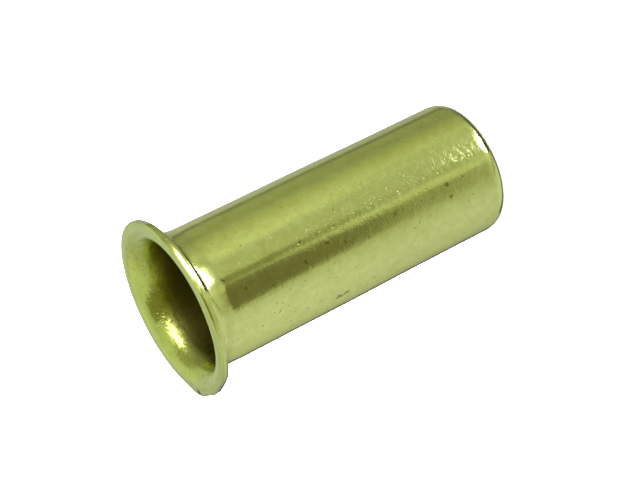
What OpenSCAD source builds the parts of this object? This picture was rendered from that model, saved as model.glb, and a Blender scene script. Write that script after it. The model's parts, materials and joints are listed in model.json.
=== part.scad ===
// Tube insert: a thin drawn brass sleeve, flared out to a flange at its mouth
// and rolled in to a rounded nose that leads into the end of a plastic tube.
// The nose stands on z = 0, and +Z runs up the axis to the flange.

/* [Barrel] */
// Outside diameter of the straight barrel, a light press in the tube's bore
barrel_d = 6.35; // [4:0.05:13]
// Thickness of the drawn sheet
wall = 0.33; // [0.2:0.01:0.4]
// Length from the nose to the front of the flange
length = 16.2; // [6:0.05:40]

/* [Flange] */
// How far the flange stands out from the barrel, all round
flange_w = 0.995; // [0.8:0.005:2]
// Radius under the flange, where the flare turns flat
flare_lip_r = 0.45; // [0.2:0.01:0.55]
// Radius of the flare's tail, where it runs out into the barrel
flare_tail_r = 1.05; // [0.8:0.01:1.4]
// Angle from the flange's face at which the lip and the tail meet
flare_meet_deg = 53.13; // [45:0.01:60]
// Rounding of the flange's trimmed edge
rim_r = 0.08; // [0.02:0.01:0.15]

/* [Nose] */
// Outside radius of the rolled nose
nose_r = 0.5; // [0.4:0.01:1]
// Width of the flat lip left round the hole pierced in the nose
nose_lip = 0.175; // [0.05:0.005:1]

/* [Quality] */
// Facets on each full circle
facets = 128; // [48:8:240]

/* [Hidden] */
brass = [0.71, 0.65, 0.26];
$fn = facets;

barrel_r = barrel_d / 2;
flange_r = barrel_r + flange_w;
// Centre of the nose's roll, as [radius, height]
nose_c = [barrel_r - nose_r, nose_r];
nose_hole_r = nose_c.x - nose_lip;
// The flare is two tangent bends, the lip and the tail. Their centres and the
// place where they meet lie on one line, so the sheet has no kink there.
bend_gap = flare_tail_r - flare_lip_r;
lip_c = [
    barrel_r + flare_tail_r - bend_gap * sin(flare_meet_deg),
    length - wall - flare_lip_r
];
tail_c = lip_c + bend_gap * [sin(flare_meet_deg), -cos(flare_meet_deg)];

// Slice of a disc about c, between two polar angles less than 180 degrees apart
module pie(c, r, from_deg, to_deg) {
    reach = 2 * r;
    mid_deg = (from_deg + to_deg) / 2;
    translate(c)
        intersection() {
            circle(r);
            polygon([
                [0, 0],
                reach * [cos(from_deg), sin(from_deg)],
                reach * [cos(mid_deg), sin(mid_deg)],
                reach * [cos(to_deg), sin(to_deg)]
            ]);
        }
}

// Half section of the space inside a surface that lies this deep in the sheet,
// where 0 is the sheet's outside and wall is its inside: x is radius, y is height
module inside(depth) {
    // Flat end and rolled edge of the nose
    translate([0, depth])
        square([nose_c.x, length]);
    translate(nose_c)
        circle(nose_r - depth);
    // Straight barrel
    translate([0, nose_c.y])
        square([barrel_r - depth, length - nose_c.y + depth]);
    // Flare, hollowed from behind by the tail and then by the lip
    difference() {
        translate([0, tail_c.y])
            square([lip_c.x, length - tail_c.y + depth]);
        pie(tail_c, flare_tail_r + depth, 90 + flare_meet_deg, 180);
        translate(lip_c)
            circle(flare_lip_r + depth);
    }
}

// Half section of the flange as a disc, with its trimmed edge rounded
module flange_disc() {
    translate([0, length - wall])
        square([flange_r - rim_r, wall]);
    translate([0, length - wall + rim_r])
        square([flange_r, wall - 2 * rim_r]);
    for (z = [length - wall + rim_r, length - rim_r])
        translate([flange_r - rim_r, z])
            circle(rim_r);
}

// Half section of the whole sheet
module insert_section() {
    difference() {
        union() {
            inside(0);
            flange_disc();
        }
        inside(wall);
        // Hole pierced through the nose
        square([nose_hole_r, 2 * wall]);
    }
}

module tube_insert() {
    color(brass)
        rotate_extrude()
            insert_section();
}

tube_insert();
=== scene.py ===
"""Looks of the tube insert: a thin drawn brass sleeve with a flared flange and a rolled nose.

Lengths are metres. The nose stands on z = 0 and +Z runs up the axis to the flange.
An azimuth turns about the axis from the camera's side (-Y) towards -X, and an elevation
is counted up from the horizon.
"""
import json
import math

import bpy
import numpy as np
from mathutils import Matrix, Vector


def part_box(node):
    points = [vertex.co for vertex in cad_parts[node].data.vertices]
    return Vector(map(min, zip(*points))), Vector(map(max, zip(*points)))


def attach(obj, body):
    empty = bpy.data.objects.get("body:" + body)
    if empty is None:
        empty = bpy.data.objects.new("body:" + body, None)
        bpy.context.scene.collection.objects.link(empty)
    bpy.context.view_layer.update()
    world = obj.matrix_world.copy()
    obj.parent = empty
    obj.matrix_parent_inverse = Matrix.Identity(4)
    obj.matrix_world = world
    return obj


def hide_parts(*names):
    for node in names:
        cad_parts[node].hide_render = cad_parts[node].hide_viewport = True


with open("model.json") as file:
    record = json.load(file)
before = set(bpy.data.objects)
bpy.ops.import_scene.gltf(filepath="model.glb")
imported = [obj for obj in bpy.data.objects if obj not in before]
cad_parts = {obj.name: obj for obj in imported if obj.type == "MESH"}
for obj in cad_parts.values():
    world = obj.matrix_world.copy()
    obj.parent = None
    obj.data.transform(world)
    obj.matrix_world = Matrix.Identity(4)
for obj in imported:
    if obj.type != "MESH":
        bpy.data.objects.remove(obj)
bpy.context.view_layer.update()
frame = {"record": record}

MM = 0.001

# ---------------------------------------------------------------- sizes from the frame
MOUNTS = {mount["name"]: mount for mount in frame["record"]["mounts"]}
_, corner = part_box("tube_insert")
BARREL_R = MOUNTS["barrel"]["dims"]["r_mm"] * MM
BORE_R = MOUNTS["bore"]["dims"]["r_mm"] * MM
HOLE_R = MOUNTS["nose_hole"]["dims"]["r_mm"] * MM
FLANGE_R = corner.x
TOP = corner.z
SHEET = BARREL_R - BORE_R
MIDDLE_R = (BARREL_R + BORE_R) / 2

# ---------------------------------------------------------------- bends of the sheet
NOSE_R = 0.5 * MM       # outer radius of the rolled nose
TAIL_R = 1.05 * MM      # back radius of the flare where it leaves the barrel
LIP_R = 0.45 * MM       # back radius of the flare where it meets the flange
TAIL_TURN = math.radians(36.87)   # how far the sheet has turned where the tail meets the lip
FOLD_TURN = math.radians(4.5)     # slight fold in the sheet where the flare begins
FOLD_HALF = 0.07 * MM             # half the length of that fold
LIP_EASE = 0.10 * MM              # length in which the lip's bend grows, and in which it ends
# Stretches of easing, each as its length and the bend at its start and its end, as a share of
# the nose's full bend or the tail's
NOSE_EASE = [(0.30 * MM, 0.25, 0.55), (0.08 * MM, 0.55, 1.15), (0.30 * MM, 1.15, 1.15),
             (0.04 * MM, 1.15, 0.0)]
TAIL_EASE = [(0.48 * MM, 0.05, 0.5), (0.16 * MM, 0.5, 1.0)]

# ---------------------------------------------------------------- cut edges
# From the sheet's outer face round to its inner one, as arcs of (radius, degrees of turn, points),
# later scaled to the sheet's thickness
RIM_EDGE = [(0.050, 79, 5), (2.40, 6, 3), (0.050, 83, 5), (1.20, 12, 3)]
WORN_RIM_EDGE = [(0.050, 72, 5), (2.10, 5, 3), (0.020, 34, 2), (1.75, 9, 3), (0.050, 60, 3)]
HOLE_EDGE = [(0.020, 85, 3), (1.68, 10, 2), (0.020, 85, 3)]
WORN_AT, WORN_SPAN = -25.0, 34.0   # middle of the worn part of the rim, and half its width, in azimuth

# ---------------------------------------------------------------- unevenness of this one piece
WAVE_DEPTH = 0.003 * MM    # slight waves of the thin drawn barrel
WAVE_LENGTH = 5 * MM
WAVES = 14
WAVES_FROM, WAVES_TO, WAVES_FADE = 1.0 * MM, 15.2 * MM, 1.5 * MM   # along the sheet, from the hole
SWELL = 0.02 * MM          # how much the barrel's radius swells towards the flange
SWELL_FROM, SWELL_SPAN = 4.0 * MM, 5.0 * MM                        # along the sheet too
OFF_CENTRE = 0.067 * MM    # how far the flange was pressed off the barrel's axis, towards +X
SHIFT_FROM, SHIFT_SPAN = TOP - 2.0 * MM, 1.5 * MM                  # height in which that shift grows
RIM_BAND = 0.5 * MM        # how far in from the flange's rim its knocks reach
# Knocks that bent the rim a little: the middle and half the width in azimuth of each, and how
# far it pushed the rim in, where less than 0 is a corner that it drew out
RIM_KNOCKS = [(114.0, 17.0, -0.125 * MM), (75.0, 17.0, 0.07 * MM), (97.0, 12.0, 0.03 * MM),
              (-83.0, 12.0, -0.035 * MM)]


# ================================================================ camera
def make_camera():
    """A long lens that looks down on the standing part, rolled so that the sleeve lies aslant."""
    aim = Vector((-0.115, -0.004, 8.352)) * MM
    elevation = math.radians(23.82)
    roll = math.radians(-116.58)
    distance = 89.87 * MM
    forward = Vector((0.0, math.cos(elevation), -math.sin(elevation)))
    level_right = Vector((1.0, 0.0, 0.0))
    level_up = level_right.cross(forward)
    right = math.cos(roll) * level_right + math.sin(roll) * level_up
    up = right.cross(forward)
    data = bpy.data.cameras.new("camera")
    data.sensor_width = 36.0
    data.lens = 112.25
    data.clip_start = 0.005
    data.clip_end = 5.0
    camera = bpy.data.objects.new("camera", data)
    camera.matrix_world = Matrix.Translation(aim - distance * forward) @ Matrix(
        (right, up, -forward)).transposed().to_4x4()
    bpy.context.scene.collection.objects.link(camera)
    bpy.context.scene.camera = camera


# ================================================================ mesh helpers
def smooth_step(value):
    """0 below 0, 1 above 1, and 3 v^2 - 2 v^3 between."""
    v = np.clip(value, 0.0, 1.0)
    return v * v * (3.0 - 2.0 * v)


def fade_in(value, start, span):
    """0 up to a start, 1 from a span further on, and a smooth step between."""
    return smooth_step((value - start) / span)


def past(value, edge, softness):
    """0 before an edge and 1 past it, with a smooth step as wide as its softness across it."""
    return smooth_step((value - edge) / softness + 0.5)


def hump(value, centre, half_width):
    """A round bump, 1 at its centre and 0 beyond its half width: (1 - d^2)^2."""
    d = np.clip((value - centre) / half_width, -1.0, 1.0)
    return (1.0 - d * d) ** 2


def grid_mesh(name, points, closed_rows=False, closed_columns=False):
    """A quad mesh over a grid of points (rows, columns, 3), joined up across a closed direction."""
    rows, columns = points.shape[:2]
    row = np.arange(rows if closed_rows else rows - 1)
    column = np.arange(columns if closed_columns else columns - 1)
    row, column = np.meshgrid(row, column, indexing="ij")
    next_row = (row + 1) % rows
    next_column = (column + 1) % columns
    corners = np.stack([row * columns + column, row * columns + next_column,
                        next_row * columns + next_column, next_row * columns + column], -1)
    mesh = bpy.data.meshes.new(name)
    mesh.from_pydata(points.reshape(-1, 3), [], corners.reshape(-1, 4))
    mesh.polygons.foreach_set("use_smooth", np.ones(len(mesh.polygons), bool))
    mesh.update()
    return mesh


def paint(mesh, name, kind, values):
    """Stores one value or colour for each vertex, under a name that a material reads."""
    attribute = mesh.attributes.new(name, kind, "POINT")
    field = "color" if kind == "FLOAT_COLOR" else "value"
    attribute.data.foreach_set(field, np.ascontiguousarray(values, np.float32).ravel())


def add_object(name, mesh, material):
    """An object at the origin that shows the mesh in the material."""
    thing = bpy.data.objects.new(name, mesh)
    mesh.materials.append(material)
    bpy.context.scene.collection.objects.link(thing)
    return thing


# ================================================================ the sheet's section
def quarter_bend(stretches, step=0.004 * MM):
    """A line that turns by a quarter from straight ahead to straight sideways.

    stretches are (length, bend at its start, bend at its end), the bend being 1 / radius.
    The bend runs evenly along each stretch, the whole is scaled to turn 90 degrees, the
    heading is the running sum of the bend, and the place the running sum of the heading.
    Returns ahead, sideways, heading and bend at even steps.
    """
    lengths = np.array([length for length, _, _ in stretches])
    ends = np.concatenate([[0.0], np.cumsum(lengths)])
    along = np.arange(0.0, ends[-1] + step, step)
    bend = np.zeros_like(along)
    for (length, first, last), start in zip(stretches, ends):
        inside = (along >= start) & (along < start + length)
        bend[inside] = first + (last - first) * (along[inside] - start) / length
    heading = np.concatenate([[0.0], np.cumsum((bend[1:] + bend[:-1]) / 2 * step)])
    grow = (math.pi / 2) / heading[-1]
    heading *= grow
    middle = (heading[1:] + heading[:-1]) / 2
    ahead = np.concatenate([[0.0], np.cumsum(np.cos(middle) * step)])
    sideways = np.concatenate([[0.0], np.cumsum(np.sin(middle) * step)])
    return ahead, sideways, heading, bend * grow


def straight(start, end, step=0.02 * MM):
    """Even points from start to end, without the last."""
    count = max(2, int(np.hypot(*(np.array(end) - start)) / step))
    share = np.arange(count)[:, None] / count
    return np.array(start) + share * (np.array(end) - start)


def eased(stretches, full_bend):
    """The stretches with their shares of a full bend made bends."""
    return [(length, first * full_bend, last * full_bend) for length, first, last in stretches]


def sheet_line():
    """The middle line of the sheet, from the pierced hole round the nose and up to the flange's rim.

    Straight lines join two quarter bends: the nose, worked out from the barrel downwards, and
    the flare, a slight fold, the tail and the tighter lip, worked out from the barrel upwards.
    Returns radius, height, heading (0 outwards, 90 degrees up), bend and path length.
    """
    half = SHEET / 2
    nose = quarter_bend(eased(NOSE_EASE, 1 / (NOSE_R - half)))
    tail_bend = 1 / (TAIL_R + half)
    lip_bend = 1 / (LIP_R + half)
    fold_bend = FOLD_TURN / FOLD_HALF
    tail_start = eased(TAIL_EASE, tail_bend)
    start_turn = FOLD_TURN + sum(length * (first + last) / 2 for length, first, last in tail_start)
    tail_length = (TAIL_TURN - start_turn) / tail_bend
    lip_length = (math.pi / 2 - TAIL_TURN) / lip_bend - 1.5 * LIP_EASE
    flare = quarter_bend([(FOLD_HALF, 0.0, fold_bend), (FOLD_HALF, fold_bend, 0.0),
                          *tail_start, (tail_length, tail_bend, tail_bend),
                          (LIP_EASE, tail_bend, lip_bend), (lip_length, lip_bend, lip_bend),
                          (LIP_EASE, lip_bend, 0.0)])
    nose_z = half + nose[0][-1]
    flare_z = TOP - half - flare[0][-1]
    nose_r = MIDDLE_R - nose[1][::-1]
    flare_r = MIDDLE_R + flare[1]
    points = np.concatenate([
        straight((HOLE_R, half), (nose_r[0], half)),
        np.stack([nose_r, nose_z - nose[0][::-1]], 1)[:-1],
        straight((MIDDLE_R, nose_z), (MIDDLE_R, flare_z)),
        np.stack([flare_r, flare_z + flare[0]], 1),
        straight((flare_r[-1], TOP - half), (FLANGE_R, TOP - half))[1:],
        [[FLANGE_R, TOP - half]]])
    path = np.concatenate([[0.0], np.cumsum(np.hypot(*np.diff(points, axis=0).T))])
    turn = np.unwrap(np.arctan2(np.gradient(points[:, 1], path), np.gradient(points[:, 0], path)))
    return points[:, 0], points[:, 1], turn, np.abs(np.gradient(turn, path)), path


def stations(path, bend, start, end, flat_step, turn_step, count):
    """Places along the sheet, flat_step apart where it is straight and turn_step radians apart in a bend."""
    density = 1 / flat_step + bend / turn_step
    total = np.concatenate([[0.0], np.cumsum((density[1:] + density[:-1]) / 2 * np.diff(path))])
    first, last = np.interp([start, end], path, total)
    return np.interp(np.linspace(first, last, count), total, path)


def cut_edge(turns):
    """Outline of a cut edge, from the sheet's outer face round to its inner one.

    turns are (radius, degrees, points) of the arcs that swing the edge's facing through half a
    turn. The outline is scaled to the sheet's thickness.
    Returns (short of the cut, off the middle line) of each point.
    """
    facing = 90.0
    points = [np.zeros((1, 2))]
    for radius, turn, count in turns:
        angle = np.radians(np.linspace(facing, facing - turn, count + 1))
        out = np.stack([np.cos(angle), np.sin(angle)], 1)
        points.append(points[-1][-1] + radius * (out[1:] - out[0]))
        facing -= turn
    points = np.concatenate(points)
    points *= SHEET / -points[-1, 1]
    return np.stack([points[:, 0].max() - points[:, 0], points[:, 1] + SHEET / 2], 1)


def section(rim_edge, outer_rows=168, inner_rows=80, outer_step=0.13 * MM, inner_step=0.5 * MM,
            turn_step=math.radians(3.0)):
    """The closed outline of the cut sheet: up its outer face, round the rim and back down its inner face.

    The rows of a face lie half the sheet's thickness off its middle line, square to its heading.
    Returns radius and height of each row, its path length along the sheet, and its side:
    1 on the outer face, -1 on the inner one, and between them on the cut edges.
    """
    radius, height, heading, bend, path = sheet_line()
    rim = cut_edge(rim_edge)
    hole = cut_edge(HOLE_EDGE)
    rim_path = path[-1] - rim[:, 0]
    outer = stations(path, bend, hole[0, 0], rim_path[0], outer_step, turn_step, outer_rows)
    inner = stations(path, bend, rim_path[-1], hole[-1, 0], inner_step, turn_step, inner_rows)
    along = np.concatenate([outer, rim_path[1:-1], inner, hole[1:-1, 0]])
    off = np.concatenate([np.full(outer_rows, SHEET / 2), rim[1:-1, 1],
                          np.full(inner_rows, -SHEET / 2), -hole[1:-1, 1]])
    turn = np.interp(along, path, heading)
    row_r = np.interp(along, path, radius) + off * np.sin(turn)
    row_z = np.interp(along, path, height) - off * np.cos(turn)
    return row_r, row_z, along, off / (SHEET / 2)


# ================================================================ handling marks
def unevenness(azimuth, along, waves, wavelength, seed):
    """A smooth random surface about 1 high: a sum of waves round and along the sleeve.

    Each wave is cos(k azimuth + a) cos(q along + b), with a whole number k, so it closes on itself.
    """
    random = np.random.default_rng(seed)
    round_count = random.integers(1, max(2, int(2 * math.pi * BARREL_R / wavelength)), waves)
    along_rate = random.uniform(0.2, 1.0, waves) * 2 * math.pi / wavelength
    shift = random.uniform(0.0, 2 * math.pi, (2, waves))
    total = np.zeros(np.broadcast(azimuth, along).shape)
    for k, q, a, b in zip(round_count, along_rate, *shift):
        total += np.cos(k * azimuth + a) * np.cos(q * along + b)
    return total / math.sqrt(waves)


def round_hump(turn, centre, half_width):
    """A round bump in azimuth, its centre and half its width in degrees."""
    return hump(turn, math.radians(centre), math.radians(half_width))


def paint_finish(mesh, turn, radius, height, side):
    """Masks for the material: the bore's rougher inside with painted shade, the throat's rough lip with a
    slight painted shade, and painted shade on the cut edge.

    The inside, a darker painted shade, fades in below the flange's face. The lip is a round bump of
    the inner face's radius. The cut edge is left bright on the near side and given painted shade
    past it, less so towards +X, and its outer corner gets painted shade over a round bump in azimuth.
    """
    inside_from, inside_span = 0.25 * MM, 1.2 * MM   # depth below the flange's face
    lip_r, lip_half = 3.15 * MM, 0.75 * MM           # the lip's middle radius, and half its width
    lip_from, lip_span = TOP - 2.0 * MM, MM          # height in which the lip fades in
    rim_foot = TOP - SHEET - 0.1 * MM                # lowest height that belongs to the rim
    # Painted shade on the cut edge past the near side, and on its outer corner
    shade_from, shade_span = math.radians(52.0), math.radians(26.0)   # azimuth, either way
    shade_left, shade_right = 1.0, 0.6                 # towards -X, and towards +X
    corner_at, corner_half, corner_shade = 66.0, 26.0, 1.2

    inner_face = smooth_step(-side)
    inside = inner_face * fade_in(TOP - height, inside_from, inside_span)
    lip = inner_face * hump(radius, lip_r, lip_half) * fade_in(height, lip_from, lip_span)
    on_rim = smooth_step((1.0 - np.abs(side)) * 4.0) * (height > rim_foot)
    painted_shade = fade_in(np.abs(turn), shade_from, shade_span) * np.where(turn > 0, shade_left, shade_right)
    outer_corner = round_hump(turn, corner_at, corner_half) ** 0.5 * smooth_step(side * 2.0)
    # inside is painted shade in the bore, and lip a slight painted shade on the throat
    paint(mesh, "inside", "FLOAT", inside)
    paint(mesh, "lip", "FLOAT", lip)
    # The cut mask is painted shade on the cut edge
    paint(mesh, "cut", "FLOAT", on_rim * np.maximum(painted_shade, corner_shade * outer_corner))


def drawn_sleeve(columns=352):
    """The sleeve: its section carried round the axis, as (-r sin t, -r cos t, z) at azimuth t.

    Where the rim is worn, the section passes over into the worn one. The radius r gains the
    waves and the swelling of the barrel, and loses the knocks in the rim, each a round bump in
    azimuth. The flange's end is shifted off the axis as a whole.
    """
    row_r, row_z, along, side = (row[:, None] for row in section(RIM_EDGE))
    worn_r, worn_z, _, _ = (row[:, None] for row in section(WORN_RIM_EDGE))
    turn = (np.arange(columns) / columns * 2 * math.pi - math.pi)[None, :]
    worn = smooth_step(2.0 * round_hump(turn, WORN_AT, WORN_SPAN))
    radius = row_r + (worn_r - row_r) * worn
    height = row_z + (worn_z - row_z) * worn
    on_barrel = fade_in(along, WAVES_FROM, WAVES_FADE) * fade_in(-along, -WAVES_TO, WAVES_FADE)
    radius += WAVE_DEPTH * on_barrel * unevenness(turn, along, WAVES, WAVE_LENGTH, seed=4)
    radius += SWELL * fade_in(along, SWELL_FROM, SWELL_SPAN)
    near_rim = fade_in(radius, FLANGE_R - RIM_BAND, RIM_BAND)
    for knock_at, knock_half, knock_depth in RIM_KNOCKS:
        radius -= knock_depth * round_hump(turn, knock_at, knock_half) * near_rim
    off_centre = OFF_CENTRE * fade_in(height, SHIFT_FROM, SHIFT_SPAN)
    points = np.stack([off_centre - radius * np.sin(turn), -radius * np.cos(turn), height], -1)
    mesh = grid_mesh("sleeve", points, closed_rows=True, closed_columns=True)
    paint_finish(mesh, turn, radius, height, side)
    return mesh


# ================================================================ materials
SKIN = BARREL_R / MM   # the barrel's skin, in mm from the axis, where the marks on it are centred
RAGGED = 0.3           # how far noise moves the outline of a ragged mark, in mm

# Small pits in the barrel's skin: azimuth in degrees, height and size in mm
PITS = [
    (-3, 14.6, 0.13), (10, 13.8, 0.09), (18, 12.6, 0.08), (-3, 10.7, 0.08), (12, 10.8, 0.12),
    (7, 9.5, 0.12), (12, 8.7, 0.12), (-15, 8.5, 0.06), (18, 7.5, 0.08), (10, 5.9, 0.15),
    (8, 3.0, 0.15), (18, 3.0, 0.12), (7, 2.1, 0.12),
]

# The brass in red, green and blue: the two colours of its mottle, and what is laid over them one
# after another, as (mask that says where, how it is laid on, colour)
BRASS_DEEP = (0.62, 0.715, 0.165)
BRASS_PALE = (0.85, 0.95, 0.255)
TINTS = [
    ("patches", "MULTIPLY", (0.96, 0.93, 0.88)),
    ("speck", "MIX", (0.46, 0.47, 0.11)),
    # painted glints: bright, paler specks near the nose
    ("painted_glints", "MIX", (1.0, 1.0, 0.42)),
    ("cut", "MIX", (0.28, 0.29, 0.18)),
    ("nicks", "MIX", (0.32, 0.34, 0.08)),
    ("pits", "MIX", (0.36, 0.37, 0.07)),
    ("rim_nick", "MIX", (0.10, 0.12, 0.03)),
    # painted shade: the bore's inside turns darker below the flange's face
    ("inside", "MIX", (0.38, 0.34, 0.05)),
    # a slight painted shade, darker and yellower, on the throat's lip
    ("lip", "MULTIPLY", (0.90, 0.90, 0.70)),
    # painted shade in a rougher patch just inside the throat
    ("painted_shade", "MIX", (0.39, 0.39, 0.09)),
]


def node_maker(material):
    """A function that adds a node with its settings, and sets or links its sockets.

    A socket is given by its name, with _ for a space, or as i and its number.
    """
    tree = material.node_tree

    def make(kind, settings=None, **sockets):
        node = tree.nodes.new(kind)
        for key, value in (settings or {}).items():
            setattr(node, key, value)
        for key, value in sockets.items():
            by_number = key[0] == "i" and key[1:].isdigit()
            socket = node.inputs[int(key[1:]) if by_number else key.replace("_", " ")]
            if isinstance(value, bpy.types.NodeSocket):
                tree.links.new(value, socket)
            else:
                socket.default_value = value
        return node
    return make


def fresh_material(name):
    """A node material with nothing in it but its output."""
    material = bpy.data.materials.new(name)
    material.use_nodes = True
    material.node_tree.nodes.clear()
    return material


def noise(make, where, scale, detail, roughness=0.5):
    """A noise about 0.5, with scale grains to a millimetre where its coordinates are in mm."""
    return make("ShaderNodeTexNoise", Vector=where, Scale=scale, Detail=detail,
                Roughness=roughness).outputs["Fac"]


def ramp(make, value, start, end, low=0.0, high=1.0):
    """The value carried evenly from start..end to low..high, and held beyond."""
    return make("ShaderNodeMapRange", Value=value, From_Min=start, From_Max=end, To_Min=low,
                To_Max=high).outputs["Result"]


def combined(make, operation, first, second, third=0.0):
    """A number worked out from two or three others."""
    return make("ShaderNodeMath", {"operation": operation}, i0=first, i1=second,
                i2=third).outputs["Value"]


def tinted(make, share, under, colour, way="MIX"):
    """A colour laid over the one under it, as strongly as its share says."""
    return make("ShaderNodeMix", {"data_type": "RGBA", "blend_type": way}, i0=share, i6=under,
                i7=(*colour, 1.0)).outputs[2]


def mixed(make, share, under, over):
    """A number that goes from the one under it to the one over it with the share."""
    return make("ShaderNodeMix", {"data_type": "FLOAT"}, i0=share, i2=under, i3=over).outputs[0]


def bumped(make, height, depth, inwards=False, **normal):
    """The normal of a skin that stands out, or goes in, by depth metres where height is 1."""
    return make("ShaderNodeBump", {"invert": inwards}, Height=height, Strength=1.0, Distance=depth,
                **normal).outputs["Normal"]


def spot(make, in_mm, azimuth, radius, height, size, slant=0.0):
    """A soft ellipsoid mask, 1 at its middle: its place on the sleeve and its size (round, out, up) in mm."""
    turn = math.radians(azimuth)
    centre = (-radius * math.sin(turn), -radius * math.cos(turn), height)
    local = make("ShaderNodeMapping", {"vector_type": "TEXTURE"}, Vector=in_mm, Location=centre,
                 Rotation=(0.0, math.radians(slant), -turn), Scale=size).outputs["Vector"]
    away = make("ShaderNodeVectorMath", {"operation": "LENGTH"}, i0=local).outputs["Value"]
    return make("ShaderNodeMapRange", {"interpolation_type": "SMOOTHSTEP"}, Value=away,
                From_Min=1.0, From_Max=0.3, To_Min=0.0, To_Max=1.0).outputs["Result"]


def ragged_place(make, in_mm):
    """The place in mm moved about by noise, so that a spot read at it has a ragged outline."""
    shift = make("ShaderNodeTexNoise", Vector=in_mm, Scale=7.0, Detail=1.0).outputs["Color"]
    moved = make("ShaderNodeVectorMath", {"operation": "MULTIPLY_ADD"}, i0=shift,
                 i1=(RAGGED, RAGGED, RAGGED), i2=in_mm).outputs["Vector"]
    return make("ShaderNodeVectorMath", {"operation": "SUBTRACT"}, i0=moved,
                i1=(RAGGED / 2, RAGGED / 2, RAGGED / 2)).outputs["Vector"]


def brass_masks(make):
    """What varies over the brass, by name: noises, marks and the masks painted on the mesh."""
    place = make("ShaderNodeTexCoord").outputs["Object"]
    in_mm = make("ShaderNodeMapping", Vector=place, Scale=(1 / MM, 1 / MM, 1 / MM)).outputs["Vector"]
    drawn = make("ShaderNodeMapping", Vector=in_mm, Scale=(7.0, 7.0, 0.7)).outputs["Vector"]
    masks = {name: make("ShaderNodeAttribute", {"attribute_name": name}).outputs["Fac"]
             for name in ("inside", "lip", "cut")}
    masks["lines"] = noise(make, drawn, 1.0, 3.0)
    masks["mottle"] = noise(make, in_mm, 3.2, 4.0, 0.6)
    masks["grain"] = noise(make, in_mm, 11.0, 2.0)
    masks["patches"] = ramp(make, noise(make, in_mm, 1.7, 3.0), 0.36, 0.64)

    # Specks: only the peaks of a fine noise show, and more of them on the lip
    flecks = combined(make, "MULTIPLY_ADD", masks["lip"], 0.05, noise(make, in_mm, 5.5, 2.5, 0.7))
    masks["speck"] = ramp(make, flecks, 0.65, 0.73)

    # A rippled patch at the nose, with a fainter trail of ripples behind it
    trail = spot(make, in_mm, -12.5, SKIN, 7.7, (1.2, 0.9, 7.7))
    rippled = spot(make, in_mm, -14.0, SKIN, 1.5, (1.15, 0.9, 2.7))
    masks["rippled"] = combined(make, "MULTIPLY_ADD", trail, 0.34, rippled)

    # Painted glints: bright, paler specks along that trail, where only the hollows of the fine noise show
    painted_glints = ramp(make, flecks, 0.395, 0.315, 0.0, 0.9)
    masks["painted_glints"] = combined(make, "MULTIPLY", painted_glints, trail)

    # Small ragged pits, and two short nicks low on one side of the barrel
    ragged = ragged_place(make, in_mm)
    masks["pits"] = 0.0
    for azimuth, height, size in PITS:
        pit = spot(make, ragged, azimuth, SKIN, height, (size, 0.3, size))
        masks["pits"] = combined(make, "MAXIMUM", masks["pits"], pit)
    nick = spot(make, ragged, 58.6, SKIN, 9.46, (0.13, 0.3, 0.24), slant=8.0)
    nick_end = spot(make, ragged, 58.0, SKIN, 9.12, (0.11, 0.3, 0.24), slant=-6.0)
    masks["nicks"] = combined(make, "MAXIMUM", nick, nick_end)

    # One deeper nick at the rim's drawn-out corner, and a rougher patch of painted shade just inside the
    # throat
    masks["rim_nick"] = spot(make, in_mm, 111.9, 4.06, 16.19, (0.25, 0.26, 0.3))
    masks["painted_shade"] = spot(make, in_mm, 124.0, 2.95, 15.42, (1.3, 0.6, 0.50))
    return masks


def bright_drawn_brass():
    """Bright drawn brass: greenish yellow, finely mottled and pitted, with lines along the draw."""
    material = fresh_material("bright_drawn_brass")
    make = node_maker(material)
    masks = brass_masks(make)
    tint = tinted(make, masks["mottle"], (*BRASS_DEEP, 1.0), BRASS_PALE)
    # Some tints are painted light: painted shade in the bore, the throat and on the cut edge, and painted
    # glints near the nose
    for name, way, colour in TINTS:
        tint = tinted(make, masks[name], tint, colour, way)
    rough = ramp(make, masks["lines"], 0.0, 1.0, 0.10, 0.16)
    rough = mixed(make, masks["inside"], rough, 0.4)
    # The patch of painted shade inside the throat is rougher too
    rough = mixed(make, masks["painted_shade"], rough, 0.5)
    wave_depth = ramp(make, masks["lip"], 0.0, 1.0, 0.0035 * MM, 0.028 * MM)
    wave_depth = combined(make, "MULTIPLY_ADD", masks["rippled"], 0.017 * MM, wave_depth)
    normal = bumped(make, masks["mottle"], wave_depth)
    normal = bumped(make, masks["grain"], 0.0015 * MM, Normal=normal)
    normal = bumped(make, masks["lines"], 0.003 * MM, Normal=normal)
    normal = bumped(make, masks["speck"], 0.004 * MM, inwards=True, Normal=normal)
    normal = bumped(make, masks["nicks"], 0.03 * MM, inwards=True, Normal=normal)
    shader = make("ShaderNodeBsdfPrincipled", Base_Color=tint, Roughness=rough, Normal=normal,
                  Metallic=1.0)
    make("ShaderNodeOutputMaterial", Surface=shader.outputs["BSDF"])
    return material


# ================================================================ studio
def floor_paper():
    """Matt white paper."""
    material = fresh_material("floor_paper")
    make = node_maker(material)
    shader = make("ShaderNodeBsdfPrincipled", Base_Color=(0.93, 0.93, 0.93, 1.0), Roughness=0.9)
    make("ShaderNodeOutputMaterial", Surface=shader.outputs["BSDF"])
    return material


def make_floor(columns=64):
    """A round sheet of white paper under the part, as rings (r cos t, r sin t, 0).

    It doesn't show in the metal.
    """
    ring = np.array([0.0, 0.02, 0.1, 0.6])[:, None]
    angle = np.linspace(0, 2 * math.pi, columns + 1)[None, :-1]
    points = np.stack([ring * np.cos(angle), ring * np.sin(angle), np.zeros((len(ring), columns))], -1)
    floor = add_object("floor", grid_mesh("floor", points, closed_columns=True), floor_paper())
    floor.visible_glossy = False


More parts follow.
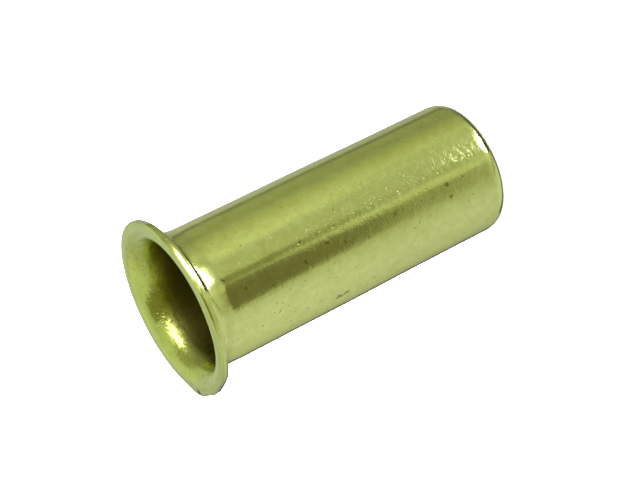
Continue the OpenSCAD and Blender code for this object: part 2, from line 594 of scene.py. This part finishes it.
# How bright the room round the part is, as (azimuth, brightness, share of blue): paler where a
# window lights it, and dark in the gap between two walls.
ROOM = [
    (-180, 0.50, 1.1), (-134, 0.48, 1.1), (-131, 0.20, 0.9), (-126, 0.23, 0.9), (-120, 0.37, 0.9),
    (-96, 0.35, 0.9), (-78, 0.48, 0.9), (-60, 0.64, 1.0), (-46, 0.74, 1.05), (-40, 0.59, 1.05),
    (-34, 0.52, 1.05), (-20, 0.52, 1.0), (-11, 0.50, 1.0), (-2, 0.59, 1.0), (3, 0.72, 1.0),
    (8, 0.69, 1.0), (14, 0.58, 1.0), (44, 0.55, 1.1), (50, 0.62, 1.3), (64, 0.68, 1.35),
    (84, 0.71, 1.4), (104, 0.68, 1.35), (126, 0.61, 1.1), (140, 0.51, 0.9), (150, 0.40, 0.9),
    (157, 0.15, 1.0), (180, 0.12, 1.0),
]

# A slightly darker strip round the foot of its walls: middle and half height in elevation
SKIRTING = (-31.0, 11.0)
SKIRTING_SHADE = 0.13

# What stands in that room, each painted over those before it: left and right edge in azimuth
# at its top, the same at its bottom, its bottom and top in elevation, softness of its sides
# and of its ends in degrees, and its brightness in red, green and blue.
PANELS = [
    ("right gleam", 135, 180, 135, 180, -15, 8, 8, 5, (0.75, 0.80, 0.60)),
    ("left gleam", -180, -120, -180, -120, -15, 8, 8, 5, (0.75, 0.80, 0.40)),
    ("ceiling", -360, 360, -360, 360, 6, 120, 1, 12, (0.55, 0.585, 0.66)),
    ("skylight", -360, 360, -360, 360, 30, 74, 1, 12, (0.64, 0.68, 0.74)),
    ("curtain", 100, 179.2, 100, 179.2, 10, 40, 2.0, 16, (0.49, 0.51, 0.57)),
    ("left shade", -122, -66, -122, -66, -12, 50, 14, 8, (0.38, 0.39, 0.33)),
    ("right shade", 56, 130, 56, 130, -13, 12, 14, 6, (0.28, 0.26, 0.13)),
    ("doorway", -14, 38, -14, 60, -12, 76, 12, 6, (0.25, 0.25, 0.13)),
    ("shelf", -10, -1, -10, -1, -24.8, -2, 2, 1.6, (0.26, 0.25, 0.20)),
    ("hand", -25, 53, 12, 37, -27.4, -4, 4, 8, (0.31, 0.30, 0.235)),
    ("fingers", -24, 70, 12.5, 30, -26.0, -4, 6, 6, (0.175, 0.155, 0.12)),
    ("streak", 39, 47, 6, 16, -74, -43, 4, 4, (0.28, 0.28, 0.22)),
    ("low left", -180, -100, -180, -100, -100, -40, 8, 6, (0.20, 0.20, 0.30)),
    ("under left", -125, -84, -125, -84, -100, -52, 8, 5, (0.12, 0.12, 0.07)),
    ("low right", 124, 180, 124, 180, -100, -38, 8, 5, (0.12, 0.12, 0.11)),
    ("sill", -56, -30, -56, -30, -40, -25, 8, 3, (0.50, 0.51, 0.53)),
    ("low glow", -40, -8, -44, -6, -42, -33.6, 8, 3, (1.6, 1.75, 2.5)),
    ("low lamp", -19, -14, -104, 5, -80, -35, 5, 2.5, (5.0, 5.0, 10.0)),
    ("under", -105, 3, -105, 3, -100, -61.5, 8, 3, (0.03, 0.03, 0.02)),
]

# Round lamps: centre in azimuth and elevation, half width and half height, softness as a
# share of its size, and brightness.
LAMPS = [
    ("high glow", -40, 22, 28, 24, 0.9, (1.1, 1.1, 1.0)),
    ("high lamp", -41, 19.7, 21.5, 13.7, 0.5, (4.5, 4.5, 8.0)),
]


def panel_glow(azimuth, elevation):
    """Brightness of the room, its panels and its lamps towards an azimuth and an elevation, in degrees.

    A panel covers what is behind it by the product of its four soft edges, and a lamp by one
    soft edge, the ellipse at which its distance from its middle is 1.
    """
    knots = np.array(ROOM)
    tone = np.interp(azimuth, knots[:, 0], knots[:, 1]) * (1 - SKIRTING_SHADE * hump(elevation, *SKIRTING))
    glow = np.stack([tone, tone, tone * np.interp(azimuth, knots[:, 0], knots[:, 2])], -1)
    for _, left, right, left_low, right_low, bottom, top, side_soft, end_soft, level in PANELS:
        up = np.clip((elevation - bottom) / (top - bottom), 0.0, 1.0)
        left_edge = left_low + (left - left_low) * up
        right_edge = right_low + (right - right_low) * up
        cover = (past(azimuth, left_edge, side_soft) * past(-azimuth, -right_edge, side_soft)
                 * past(elevation, bottom, end_soft) * past(-elevation, -top, end_soft))[..., None]
        glow = glow * (1 - cover) + np.array(level) * cover
    for _, azimuth_at, elevation_at, half_width, half_height, soft, level in LAMPS:
        away = np.hypot((azimuth - azimuth_at) / half_width, (elevation - elevation_at) / half_height)
        cover = past(-away, -1.0, soft)[..., None]
        glow = glow * (1 - cover) + np.array(level) * cover
    return glow


def make_panels():
    """A ball round the part, painted with the room and its panels, that only shows in the metal."""
    radius = 0.5
    azimuth, elevation = np.meshgrid(np.arange(-180.0, 180.0, 0.75), np.linspace(-90, 90, 241))
    turn, rise = np.radians(azimuth), np.radians(elevation)
    points = radius * np.stack([-np.sin(turn) * np.cos(rise), -np.cos(turn) * np.cos(rise),
                                np.sin(rise)], -1)
    mesh = grid_mesh("panels", points, closed_columns=True)
    glow = panel_glow(azimuth, elevation)
    paint(mesh, "glow", "FLOAT_COLOR", np.concatenate([glow, np.ones_like(glow[..., :1])], -1))
    material = fresh_material("panels")
    make = node_maker(material)
    colour = make("ShaderNodeAttribute", {"attribute_name": "glow"}).outputs["Color"]
    shader = make("ShaderNodeEmission", Color=colour, Strength=1.0)
    make("ShaderNodeOutputMaterial", Surface=shader.outputs["Emission"])
    material.cycles.emission_sampling = "NONE"
    ball = add_object("panels", mesh, material)
    ball.visible_camera = False
    ball.visible_diffuse = False
    ball.visible_shadow = False


def make_lights():
    """An even white sky and one broad soft light, for the floor alone."""
    scene = bpy.context.scene
    scene.view_settings.view_transform = "Standard"
    scene.world = bpy.data.worlds.new("sky")
    scene.world.use_nodes = True
    background = scene.world.node_tree.nodes["Background"]
    background.inputs["Color"].default_value = (1.0, 1.0, 1.0, 1.0)
    background.inputs["Strength"].default_value = 5.0
    scene.world.cycles_visibility.glossy = False
    data = bpy.data.lights.new("soft_light", "AREA")
    data.size = 0.3
    data.energy = 0.6
    light = bpy.data.objects.new("soft_light", data)
    light.location = (-0.05, -0.05, 0.4)
    light.rotation_euler = (-0.12, -0.12, 0.0)
    light.visible_glossy = False
    light.visible_camera = False
    scene.collection.objects.link(light)


# ================================================================ the part in its studio
make_camera()
make_floor()
make_panels()
make_lights()

sleeve = add_object("sleeve", drawn_sleeve(), bright_drawn_brass())
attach(sleeve, "root")
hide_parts("tube_insert")
